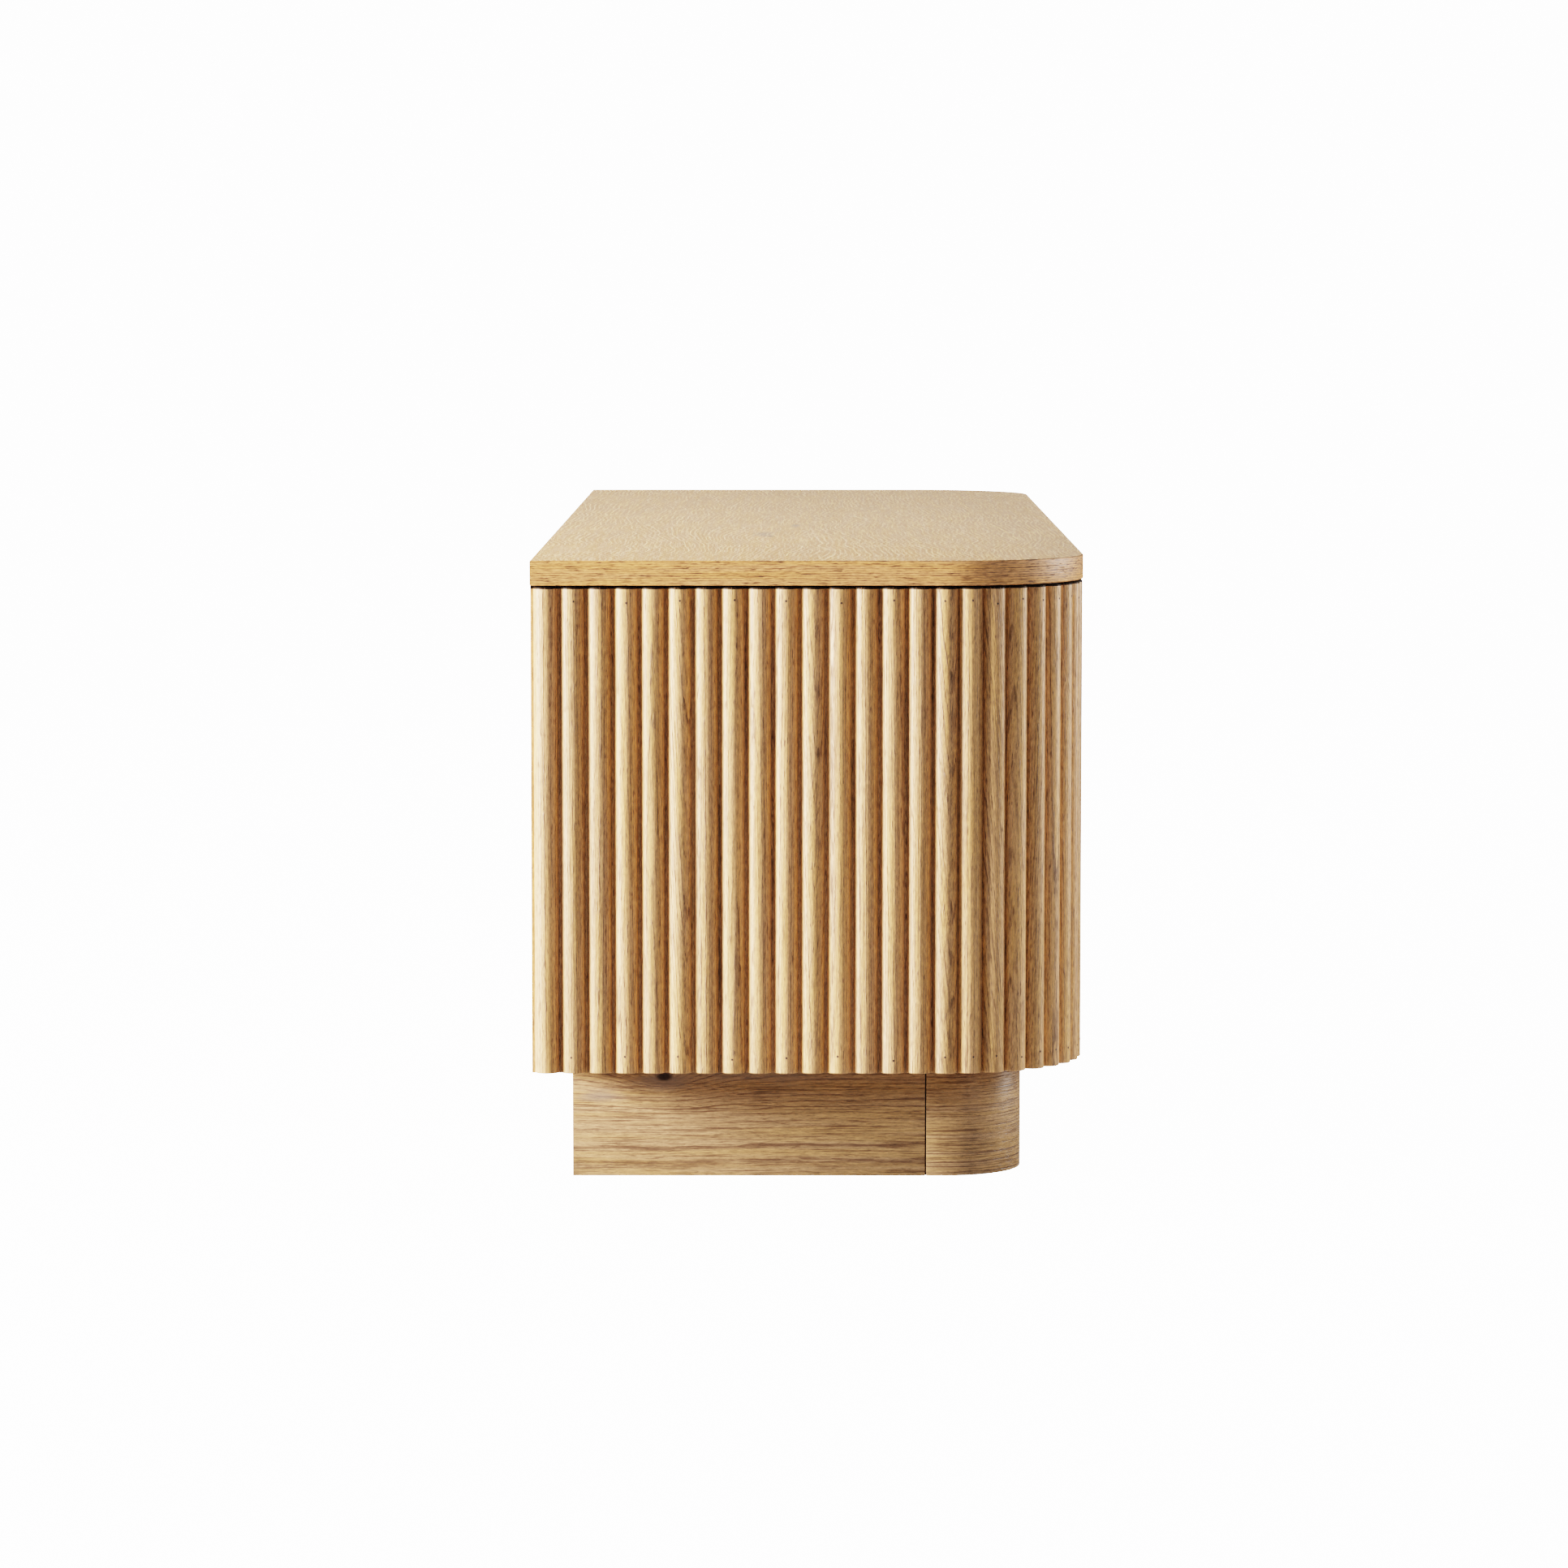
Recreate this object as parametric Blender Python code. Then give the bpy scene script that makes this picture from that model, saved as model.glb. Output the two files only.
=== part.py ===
"""Media cabinet in oak: a flat top on a reeded body with round front corners, on a recessed plinth.

Metres, +Z up. The origin is on the floor under the middle of the cabinet. +X runs along the length, and the
doors face -Y.
"""

import math

import bmesh
import bpy

# Overall size
LENGTH = 1.400
DEPTH = 0.450
HEIGHT = 0.508
FIT = 0.0003  # gap between pieces that touch
FRONT, BACK = -DEPTH / 2, DEPTH / 2

# Top panel
TOP_THICK = 0.020
TOP_CORNER_R = 0.116
SHADOW_GAP = 0.0012  # between the top panel and the reeds under it

# Reeding: round slats on a thin backing, run round the body's outline
BODY_INSET = 0.0005  # the reeds' crests, in from the edge of the top panel
BODY_LOW = 0.0926
REED_PITCH = 0.0215
REED_WIDTH = 0.0195
REED_R = 0.010
REED_STEPS = 6
REED_MARGIN = 0.0017  # plain strip before the first reed at the back
REED_BACKING = 0.0015
END_REEDS = 15
CORNER_REEDS = 9
SIDE_DOOR_REEDS = 17
CENTER_DOOR_REEDS = 18

# Boards
PANEL_THICK = 0.016  # ends, corners and doors
BOARD_THICK = 0.018  # bottom, shelves and plinth
BACK_THICK = 0.006
BACK_RECESS = 0.004
DOOR_CLEARANCE = 0.002  # between a closed door and the boards behind it
DOOR_GAP = 0.003  # at each side of a door
CORNER_STEPS = 12

# Shelves and their pins
SHELF_LOW = 0.291
SHELF_FRONT = -0.120
PIN_R = 0.0025
PIN_HALF = 0.008
PIN_HOLE_DEPTH = 0.0085
PIN_YS = (-0.080, 0.170)

# Hinges: a leaf on the fixed piece, a leaf on the door, and a pin between the reeds
HINGE_SETBACK = 0.0045  # the pin's centre, behind the crests
HINGE_HALF = 0.025
HINGE_INSET = 0.070  # from an end of the door to the middle of its hinge
LEAF_THICK = 0.001
LEAF_START = 0.0012
LEAF_END_GAP = 0.001
KNUCKLE_R = 0.002
KNUCKLE_GAP = 0.0004
HINGE_PIN_R = 0.001
HINGE_BORE_R = 0.00108
KNUCKLE_SIDES = 16

# Magnetic catches
CATCH_SIZE = (0.040, 0.014, 0.014)
STRIKE_SIZE = (0.026, 0.0012, 0.012)
CATCH_INSET = 0.045  # from the door's free edge to the middle of its catch

# Cable outlets
OUTLET_Z = 0.200
OUTLET_XS = (-0.440, 0.0, 0.440)
OUTLET_R = 0.030
GROMMET_BORE_R = 0.0255
GROMMET_FLANGE_R = 0.0335
GROMMET_FLANGE = 0.0018
OUTLET_SIDES = 32

# Plinth
PLINTH_FRONT_INSET = 0.050
PLINTH_BACK_INSET = 0.031
PLINTH_END_INSET = 0.0585
PLINTH_R = 0.064
PLINTH_CORNER_RUN = 0.080  # from the plinth's outer planes to the joints of its corner pieces

# Worked out from the sizes above
TOP_LOW = HEIGHT - TOP_THICK
REED_TOP = TOP_LOW - SHADOW_GAP
BODY_X = LENGTH / 2 - BODY_INSET
BODY_Y = FRONT + BODY_INSET
BODY_R = TOP_CORNER_R - BODY_INSET
CORNER_X = -LENGTH / 2 + TOP_CORNER_R
CORNER_Y = FRONT + TOP_CORNER_R
REED_HEIGHT = REED_R - math.sqrt(REED_R**2 - (REED_WIDTH / 2) ** 2)
BACKING_BACK = REED_HEIGHT + REED_BACKING
PANEL_FACE = BACKING_BACK + FIT
PANEL_BACK = PANEL_FACE + PANEL_THICK
SIDE_RUN = BACK - CORNER_Y
CORNER_ARC = BODY_R * math.pi / 2
END_STOP = REED_MARGIN + END_REEDS * REED_PITCH
CORNER_STOP = END_STOP + (CORNER_REEDS - 0.5) * REED_PITCH + REED_WIDTH / 2
CORNER_EDGE_X = CORNER_X + CORNER_STOP - SIDE_RUN - CORNER_ARC
DOOR_PITCH = (
    -2 * CORNER_EDGE_X - 6 * DOOR_GAP - 5 * REED_WIDTH
) / (2 * SIDE_DOOR_REEDS + CENTER_DOOR_REEDS - 3)
SIDE_DOOR_WIDTH = (SIDE_DOOR_REEDS - 1) * DOOR_PITCH + REED_WIDTH
PARTITION_X = CORNER_EDGE_X + 2 * DOOR_GAP + SIDE_DOOR_WIDTH + REED_WIDTH / 2
HINGE_Y = BODY_Y + HINGE_SETBACK
CARCASS_FRONT = BODY_Y + PANEL_BACK + DOOR_CLEARANCE
FLOOR_LOW = BODY_LOW + FIT
FLOOR_TOP = FLOOR_LOW + BOARD_THICK
UPRIGHT_TOP = TOP_LOW - FIT
BACK_FACE = BACK - BACK_RECESS - BACK_THICK
END_INNER_X = BODY_X - PANEL_BACK


def clear_scene():
    for obj in list(bpy.data.objects):
        bpy.data.objects.remove(obj)


def make_material(name, color, roughness, metallic=0.0):
    material = bpy.data.materials.new(name)
    material.use_nodes = True
    shader = material.node_tree.nodes["Principled BSDF"]
    shader.inputs["Base Color"].default_value = (*color, 1.0)
    shader.inputs["Roughness"].default_value = roughness
    shader.inputs["Metallic"].default_value = metallic
    return material


FINISHES = {
    "oak": ((0.58, 0.40, 0.21), 0.55, 0.0),
    "pale_oak": ((0.64, 0.50, 0.33), 0.50, 0.0),
    "steel": ((0.55, 0.55, 0.56), 0.35, 1.0),
    "brass": ((0.70, 0.52, 0.24), 0.35, 1.0),
    "plastic": ((0.05, 0.05, 0.05), 0.50, 0.0),
}


def finish(obj, kind, origin=(0, 0, 0), parent=None):
    """Gives the object its material, and moves its origin from the world's to the given point."""
    color, roughness, metallic = FINISHES[kind]
    obj.data.materials.append(make_material(obj.name, color, roughness, metallic))
    for vertex in obj.data.vertices:
        vertex.co.x -= origin[0]
        vertex.co.y -= origin[1]
        vertex.co.z -= origin[2]
    if parent:
        obj.parent = parent
    else:
        obj.location = origin
    return obj


def object_from(name, bm):
    bmesh.ops.recalc_face_normals(bm, faces=bm.faces)
    mesh = bpy.data.meshes.new(name)
    bm.to_mesh(mesh)
    bm.free()
    obj = bpy.data.objects.new(name, mesh)
    bpy.context.scene.collection.objects.link(obj)
    return obj


def prism(name, outline, start, end, axis="Z"):
    """A closed outline extruded along an axis. The outline is in (x, y) for Z, and in (y, z) for X."""
    bm = bmesh.new()
    if axis == "Z":
        vertices = [bm.verts.new((a, b, start)) for a, b in outline]
        step = (0, 0, end - start)
    else:
        vertices = [bm.verts.new((start, a, b)) for a, b in outline]
        step = (end - start, 0, 0)
    face = bm.faces.new(vertices)
    top = bmesh.ops.extrude_face_region(bm, geom=[face])
    moved = [item for item in top["geom"] if isinstance(item, bmesh.types.BMVert)]
    bmesh.ops.translate(bm, verts=moved, vec=step)
    return object_from(name, bm)


def box(name, low, high):
    outline = [(low[0], low[1]), (high[0], low[1]), (high[0], high[1]), (low[0], high[1])]
    return prism(name, outline, low[2], high[2])


def circle(center, radius, sides):
    angles = [2 * math.pi * (i + 0.5) / sides for i in range(sides)]
    return [(center[0] + radius * math.cos(a), center[1] + radius * math.sin(a)) for a in angles]


def smooth(obj, degrees=40):
    obj.data.shade_smooth()
    obj.data.set_sharp_from_angle(angle=math.radians(degrees))
    return obj


def combine(obj, other, operation):
    """Cuts the other object from this one, or joins it to this one. The other becomes a hidden guide."""
    modifier = obj.modifiers.new(operation.lower(), "BOOLEAN")
    modifier.operation = operation
    modifier.object = other
    modifier.solver = "EXACT"
    other.hide_render = True
    other.display_type = "WIRE"


def mirrored(points, side):
    """Points of the left end, taken to the end on this side. Side is -1 on the left and 1 on the right."""
    return [(-side * x, y) for x, y in points]


def round_path(run, inward, corner, radius, straight, back):
    """A point on the left end's outline: forward along the end, round the front corner, then along the front.

    The run is measured on the outline itself, and inward is the distance behind it.
    """
    arc = radius * math.pi / 2
    if run <= straight:
        return (corner[0] - radius + inward, back - run)
    if run <= straight + arc:
        angle = math.pi + (run - straight) / radius
        reach = radius - inward
        return (corner[0] + reach * math.cos(angle), corner[1] + reach * math.sin(angle))
    return (corner[0] + run - straight - arc, corner[1] - radius + inward)


def body_point(run, inward):
    return round_path(run, inward, (CORNER_X, CORNER_Y), BODY_R, SIDE_RUN, BACK)


def corner_runs(start, stop, straight, arc):
    """Places along a run that turns a corner: its ends, and even steps round the arc."""
    runs = [straight + arc * i / CORNER_STEPS for i in range(CORNER_STEPS + 1)]
    inner = [run for run in runs if start + 1e-5 < run < stop - 1e-5]
    return [start, *inner, stop]


def reed_arc(center):
    """Points across one reed, from edge to edge, as (place along the run, depth behind the crest)."""
    half = math.asin(REED_WIDTH / 2 / REED_R)
    angles = [half * (2 * i / REED_STEPS - 1) for i in range(REED_STEPS + 1)]
    return [(center + REED_R * math.sin(a), REED_R * (1 - math.cos(a))) for a in angles]


# Pieces of the carcass


def make_top():
    steps = [math.pi / 2 * i / (2 * CORNER_STEPS) for i in range(2 * CORNER_STEPS + 1)]
    left = [
        (CORNER_X - TOP_CORNER_R * math.cos(a), CORNER_Y - TOP_CORNER_R * math.sin(a))
        for a in steps
    ]
    outline = [(-LENGTH / 2, BACK), *left, *reversed(mirrored(left, 1)), (LENGTH / 2, BACK)]
    finish(smooth(prism("top_panel", outline, TOP_LOW, HEIGHT)), "pale_oak", (0, 0, TOP_LOW))


def make_bottom():
    inset = PANEL_BACK + FIT
    arc = [SIDE_RUN + CORNER_ARC * i / CORNER_STEPS for i in range(CORNER_STEPS + 1)]
    left = [body_point(run, inset) for run in arc]
    step_x = CORNER_EDGE_X + FIT
    left += [(CORNER_EDGE_X, BODY_Y + inset), (step_x, CARCASS_FRONT)]
    back = BACK_FACE - FIT
    outline = [(-BODY_X + inset, back), *left, *reversed(mirrored(left, 1)), (BODY_X - inset, back)]
    finish(prism("bottom_panel", outline, FLOOR_LOW, FLOOR_TOP), "oak", (0, 0, FLOOR_LOW))


def make_pin(name, x, y):
    """A shelf pin, half of its length in the upright at x."""
    z = SHELF_LOW - FIT - PIN_R
    pin = prism(name, circle((y, z), PIN_R, KNUCKLE_SIDES), x - PIN_HALF, x + PIN_HALF, "X")
    finish(smooth(pin), "steel", (x, y, z))


def cut_pin_holes(upright, face_x, into):
    """Blind holes in an upright for its shelf pins, from the face at face_x in the direction of into."""
    z = SHELF_LOW - FIT - PIN_R
    reach = sorted((face_x - into * PIN_HALF, face_x + into * PIN_HOLE_DEPTH))
    for index, y in enumerate(PIN_YS):
        outline = circle((y, z), PIN_R + FIT, KNUCKLE_SIDES)
        cutter = prism(f"{upright.name}_drill_{index}", outline, *reach, "X")
        combine(upright, cutter, "DIFFERENCE")


def make_end(side, word):
    low_x, high_x = sorted((side * END_INNER_X, side * (BODY_X - PANEL_FACE)))
    front = BACK - END_STOP + FIT
    low = (low_x, front, FLOOR_LOW)
    high = (high_x, BACK - FIT, UPRIGHT_TOP)
    panel = box(f"end_panel_{word}", low, high)
    cut_pin_holes(panel, side * END_INNER_X, side)
    finish(panel, "oak")
    for index, y in enumerate(PIN_YS):
        make_pin(f"shelf_pin_{word}_end_{index + 1}", side * END_INNER_X, y)


def make_end_reeding(side, word):
    points = [(FIT, REED_HEIGHT)]
    for index in range(END_REEDS):
        points += reed_arc(REED_MARGIN + (index + 0.5) * REED_PITCH)
    stop = END_STOP - FIT / 2
    points += [(stop, REED_HEIGHT), (stop, BACKING_BACK), (FIT, BACKING_BACK)]
    outline = mirrored([body_point(run, depth) for run, depth in points], side)
    reeding = smooth(prism(f"end_reeding_{word}", outline, BODY_LOW, REED_TOP), 50)
    finish(reeding, "oak", (side * BODY_X, 0, BODY_LOW))


def make_corner(side, word):
    start = END_STOP + FIT / 2
    runs = corner_runs(start, CORNER_STOP, SIDE_RUN, CORNER_ARC)
    outside = [body_point(run, PANEL_FACE) for run in runs]
    inside = [body_point(run, PANEL_BACK) for run in reversed(runs)]
    outline = mirrored(outside + inside, side)
    panel = smooth(prism(f"corner_panel_{word}", outline, FLOOR_LOW, UPRIGHT_TOP))
    finish(panel, "oak", (-side * CORNER_X, CORNER_Y, FLOOR_LOW))

    reeds = [(start, REED_HEIGHT)]
    for index in range(CORNER_REEDS):
        reeds += reed_arc(END_STOP + (index + 0.5) * REED_PITCH)
    outside = [body_point(run, depth) for run, depth in reeds]
    inside = [body_point(run, BACKING_BACK) for run in reversed(runs)]
    outline = mirrored(outside + inside, side)
    reeding = smooth(prism(f"corner_reeding_{word}", outline, BODY_LOW, REED_TOP), 50)
    finish(reeding, "oak", (-side * CORNER_X, CORNER_Y, BODY_LOW))


def make_partition(side, word):
    """An upright whose front lip hangs before the bottom panel's edge and carries one reed."""
    center = -side * PARTITION_X
    lip_front = BODY_Y + PANEL_FACE
    lip_back = CARCASS_FRONT - FIT
    back = BACK_FACE - FIT
    outline = [
        (lip_front, FLOOR_LOW),
        (lip_back, FLOOR_LOW),
        (lip_back, FLOOR_TOP + FIT),
        (back, FLOOR_TOP + FIT),
        (back, UPRIGHT_TOP),
        (lip_front, UPRIGHT_TOP),
    ]
    half = REED_WIDTH / 2
    upright = prism(f"partition_{word}", outline, center - half, center + half, "X")
    outer_face = center + side * half
    cut_pin_holes(upright, outer_face, -side)
    finish(upright, "oak")
    for index, y in enumerate(PIN_YS):
        make_pin(f"shelf_pin_{word}_partition_{index + 1}", outer_face, y)

    reed = [(center + across, BODY_Y + depth) for across, depth in reed_arc(0)]
    reed += [(center + half, BODY_Y + BACKING_BACK), (center - half, BODY_Y + BACKING_BACK)]
    strip = smooth(prism(f"partition_reed_{word}", reed, BODY_LOW, REED_TOP), 50)
    finish(strip, "oak", (center, BODY_Y, BODY_LOW))


def make_shelves():
    end_x = END_INNER_X - 2 * FIT
    partition_in = -PARTITION_X - REED_WIDTH / 2 - FIT
    partition_out = -PARTITION_X + REED_WIDTH / 2 + FIT
    front_drop = CORNER_Y - SHELF_FRONT
    round_x = -CORNER_X + math.sqrt((BODY_R - PANEL_BACK) ** 2 - front_drop**2)
    outer_x = min(end_x, round_x - 2 * FIT)
    spans = {
        "left": (-outer_x, -partition_out),
        "center": (-partition_in, partition_in),
        "right": (partition_out, outer_x),
    }
    for word, (low_x, high_x) in spans.items():
        low = (low_x, SHELF_FRONT, SHELF_LOW)
        high = (high_x, BACK_FACE - FIT, SHELF_LOW + BOARD_THICK)
        finish(box(f"shelf_{word}", low, high), "oak")


def turned(name, section, x):
    """A closed (radius, y) section turned about an outlet's axis, which runs along Y at (x, OUTLET_Z)."""
    bm = bmesh.new()
    rings = []
    for radius, y in section:
        ring = circle((x, OUTLET_Z), radius, OUTLET_SIDES)
        rings.append([bm.verts.new((a, y, b)) for a, b in ring])
    for first, second in zip(rings, rings[1:] + rings[:1]):
        for i in range(OUTLET_SIDES):
            j = (i + 1) % OUTLET_SIDES
            bm.faces.new((first[i], first[j], second[j], second[i]))
    return object_from(name, bm)


def make_back():
    """The back panel, with a round outlet behind each compartment."""
    reach = END_INNER_X - FIT
    low = (-reach, BACK_FACE, FLOOR_LOW)
    high = (reach, BACK_FACE + BACK_THICK, UPRIGHT_TOP)
    panel = box("back_panel", low, high)
    for index, x in enumerate(OUTLET_XS):
        bm = bmesh.new()
        ring = circle((x, OUTLET_Z), OUTLET_R + FIT, OUTLET_SIDES)
        face = bm.faces.new([bm.verts.new((a, BACK_FACE - BACK_THICK, b)) for a, b in ring])
        far = bmesh.ops.extrude_face_region(bm, geom=[face])
        moved = [item for item in far["geom"] if isinstance(item, bmesh.types.BMVert)]
        bmesh.ops.translate(bm, verts=moved, vec=(0, 3 * BACK_THICK, 0))
        combine(panel, object_from(f"outlet_drill_{index}", bm), "DIFFERENCE")
    finish(panel, "oak")


def make_grommets():
    """Rings in the outlets: a sleeve through the back panel, with a flange outside it."""
    inner_y = BACK_FACE - GROMMET_FLANGE
    flange_y = BACK_FACE + BACK_THICK + FIT
    rim_y = flange_y + GROMMET_FLANGE
    section = [
        (GROMMET_BORE_R, inner_y),
        (OUTLET_R, inner_y),
        (OUTLET_R, flange_y),
        (GROMMET_FLANGE_R, flange_y),
        (GROMMET_FLANGE_R, rim_y),
        (GROMMET_BORE_R, rim_y),
    ]
    for word, x in zip(("left", "center", "right"), OUTLET_XS):
        ring = smooth(turned(f"cable_grommet_{word}", section, x))
        finish(ring, "plastic", (x, BACK_FACE, OUTLET_Z))


# Plinth


def make_plinth():
    end_x = -LENGTH / 2 + PLINTH_END_INSET
    front_y = FRONT + PLINTH_FRONT_INSET
    back_y = BACK - PLINTH_BACK_INSET
    high = FLOOR_LOW - FIT
    joint_x = end_x + PLINTH_CORNER_RUN
    joint_y = front_y + PLINTH_CORNER_RUN
    half = FIT / 2
    inner_x = end_x + BOARD_THICK
    inner_back = back_y - BOARD_THICK

    corner = (end_x + PLINTH_R, front_y + PLINTH_R)
    straight = back_y - corner[1]
    arc = PLINTH_R * math.pi / 2
    start = back_y - joint_y + half
    stop = straight + arc + joint_x - corner[0] - half
    runs = corner_runs(start, stop, straight, arc)
    outside = [round_path(run, 0, corner, PLINTH_R, straight, back_y) for run in runs]
    inside = [
        round_path(run, BOARD_THICK, corner, PLINTH_R, straight, back_y) for run in reversed(runs)
    ]
    for side, word in ((-1, "left"), (1, "right")):
        low_x, high_x = sorted((-side * end_x, -side * inner_x))
        end = box(f"plinth_end_{word}", (low_x, joint_y + half, 0), (high_x, back_y, high))
        finish(end, "oak")
        outline = mirrored(outside + inside, side)
        finish(smooth(prism(f"plinth_corner_{word}", outline, 0, high)), "oak")

    front = box("plinth_front", (joint_x + half, front_y, 0), (-joint_x - half, front_y + BOARD_THICK, high))
    finish(front, "oak")
    back = box("plinth_back", (inner_x + FIT, inner_back, 0), (-inner_x - FIT, back_y, high))
    finish(back, "oak")
    rail_low = (-BOARD_THICK / 2, front_y + BOARD_THICK + FIT, 0)
    rail_high = (BOARD_THICK / 2, inner_back - FIT, high)
    finish(box("plinth_rail_center", rail_low, rail_high), "oak")


# Doors, hinges and catches


def make_leaf(name, toward, center, z, own, other):
    """A hinge leaf with barrels over its own spans of the axis, cut away round the other leaf's barrels."""
    near = DOOR_GAP / 2 - FIT - LEAF_THICK
    low_x, high_x = sorted((center[0] + toward * near, center[0] + toward * (near + LEAF_THICK)))
    back = BODY_Y + PANEL_BACK - LEAF_END_GAP
    low = (low_x, center[1] + LEAF_START, z - HINGE_HALF)
    leaf = box(name, low, (high_x, back, z + HINGE_HALF))
    spans = [("relief", KNUCKLE_R + KNUCKLE_GAP, span, "DIFFERENCE") for span in other]
    spans += [("barrel", KNUCKLE_R, span, "UNION") for span in own]
    for number, (word, radius, (start, end), operation) in enumerate(spans):
        outline = circle(center, radius, KNUCKLE_SIDES)
        guide = prism(f"{name}_{word}_{number}", outline, z + start, z + end)
        combine(leaf, guide, operation)
    return leaf


def make_hinge(word, index, pin_x, z, side, door):
    """A butt hinge. Its door leaf is on the side that the door is on, and its pin belongs to the fixed leaf."""
    center = (pin_x, HINGE_Y)
    split = HINGE_HALF / 3
    half_gap = KNUCKLE_GAP / 2
    outer = [(-HINGE_HALF, -split), (split, HINGE_HALF)]
    middle = [(-split + KNUCKLE_GAP, split - KNUCKLE_GAP)]
    outer_relief = [(-2 * HINGE_HALF, -split + half_gap), (split - half_gap, 2 * HINGE_HALF)]
    middle_relief = [(-split + half_gap, split - half_gap)]

    fixed = make_leaf(f"hinge_{word}_{index}_fixed_leaf", -side, center, z, outer, middle_relief)
    outline = circle(center, HINGE_PIN_R, KNUCKLE_SIDES)
    pin = prism(f"{fixed.name}_pin", outline, z - 2 * split, z + 2 * split)
    combine(fixed, pin, "UNION")
    finish(smooth(fixed), "brass", (*center, z))

    moving = make_leaf(f"hinge_{word}_{index}_door_leaf", side, center, z, middle, outer_relief)
    outline = circle(center, HINGE_BORE_R, KNUCKLE_SIDES)
    drill = prism(f"{moving.name}_bore", outline, z - 2 * HINGE_HALF, z + 2 * HINGE_HALF)
    combine(moving, drill, "DIFFERENCE")
    finish(smooth(moving), "brass", (*center, 0), door)


def make_door(word, low_x, reeds, hinge_side):
    """A reeded door. Hinge_side is -1 when its hinges are on its left edge, and 1 on its right edge."""
    width = (reeds - 1) * DOOR_PITCH + REED_WIDTH
    high_x = low_x + width
    pin_x = low_x - DOOR_GAP / 2 if hinge_side < 0 else high_x + DOOR_GAP / 2
    free_x = high_x if hinge_side < 0 else low_x
    door = bpy.data.objects.new(f"door_{word}", None)
    bpy.context.scene.collection.objects.link(door)
    door.location = (pin_x, HINGE_Y, 0)
    axis = (pin_x, HINGE_Y, 0)

    low = (low_x, BODY_Y + PANEL_FACE, BODY_LOW)
    high = (high_x, BODY_Y + PANEL_BACK, REED_TOP)
    finish(box(f"door_panel_{word}", low, high), "oak", axis, door)

    points = []
    for index in range(reeds):
        points += reed_arc(REED_WIDTH / 2 + index * DOOR_PITCH)
    points += [(width, BACKING_BACK), (0, BACKING_BACK)]
    outline = [(low_x + across, BODY_Y + depth) for across, depth in points]
    reeding = smooth(prism(f"door_reeding_{word}", outline, BODY_LOW, REED_TOP), 50)
    finish(reeding, "oak", axis, door)

    for index, z in enumerate((BODY_LOW + HINGE_INSET, REED_TOP - HINGE_INSET)):
        make_hinge(word, index + 1, pin_x, z, -hinge_side, door)

    catch_x = free_x + hinge_side * CATCH_INSET
    size_x, size_y, size_z = CATCH_SIZE
    low = (catch_x - size_x / 2, CARCASS_FRONT, UPRIGHT_TOP - size_z)
    high = (catch_x + size_x / 2, CARCASS_FRONT + size_y, UPRIGHT_TOP)
    finish(box(f"magnetic_catch_{word}", low, high), "plastic", (catch_x, CARCASS_FRONT, UPRIGHT_TOP))
    strike_x, strike_y, strike_z = STRIKE_SIZE
    strike_mid = UPRIGHT_TOP - size_z / 2
    strike_face = BODY_Y + PANEL_BACK + FIT
    low = (catch_x - strike_x / 2, strike_face, strike_mid - strike_z / 2)
    high = (catch_x + strike_x / 2, strike_face + strike_y, strike_mid + strike_z / 2)
    finish(box(f"strike_plate_{word}", low, high), "steel", axis, door)


def main():
    clear_scene()
    make_top()
    make_bottom()
    for side, word in ((-1, "left"), (1, "right")):
        make_end(side, word)
        make_end_reeding(side, word)
        make_corner(side, word)
        make_partition(side, word)
    make_shelves()
    make_back()
    make_grommets()
    make_plinth()
    side_door_x = CORNER_EDGE_X + DOOR_GAP
    center_door_x = PARTITION_X + REED_WIDTH / 2 + DOOR_GAP
    make_door("left", side_door_x, SIDE_DOOR_REEDS, -1)
    make_door("center", center_door_x, CENTER_DOOR_REEDS, -1)
    make_door("right", -side_door_x - SIDE_DOOR_WIDTH, SIDE_DOOR_REEDS, 1)


main()
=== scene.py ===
import math
import random

import bmesh
import bpy
from mathutils import Matrix, Vector


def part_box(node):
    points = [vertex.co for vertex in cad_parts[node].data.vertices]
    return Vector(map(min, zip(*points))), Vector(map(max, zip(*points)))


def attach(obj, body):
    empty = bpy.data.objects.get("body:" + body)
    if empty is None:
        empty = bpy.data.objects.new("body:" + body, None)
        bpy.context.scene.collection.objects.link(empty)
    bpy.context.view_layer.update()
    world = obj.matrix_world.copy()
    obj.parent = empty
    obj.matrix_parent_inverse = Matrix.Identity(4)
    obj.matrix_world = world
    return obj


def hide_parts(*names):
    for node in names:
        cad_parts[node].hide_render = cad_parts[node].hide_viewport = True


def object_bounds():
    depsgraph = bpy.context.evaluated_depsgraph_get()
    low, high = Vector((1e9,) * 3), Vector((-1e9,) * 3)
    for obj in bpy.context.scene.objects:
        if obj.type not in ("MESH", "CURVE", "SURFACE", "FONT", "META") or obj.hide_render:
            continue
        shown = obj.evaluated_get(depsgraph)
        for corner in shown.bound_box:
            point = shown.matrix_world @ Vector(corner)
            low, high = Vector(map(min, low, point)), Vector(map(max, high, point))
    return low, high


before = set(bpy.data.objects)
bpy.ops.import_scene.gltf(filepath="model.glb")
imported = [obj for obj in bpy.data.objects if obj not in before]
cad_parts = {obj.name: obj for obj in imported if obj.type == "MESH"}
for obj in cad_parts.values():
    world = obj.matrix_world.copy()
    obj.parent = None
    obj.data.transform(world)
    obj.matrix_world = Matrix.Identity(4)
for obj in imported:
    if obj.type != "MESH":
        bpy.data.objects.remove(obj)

CAD_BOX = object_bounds()
FLOOR_Z = CAD_BOX[0].z
LENGTH = CAD_BOX[1].x - CAD_BOX[0].x
FRONT_Y = CAD_BOX[0].y
BACK_Y = CAD_BOX[1].y

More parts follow.
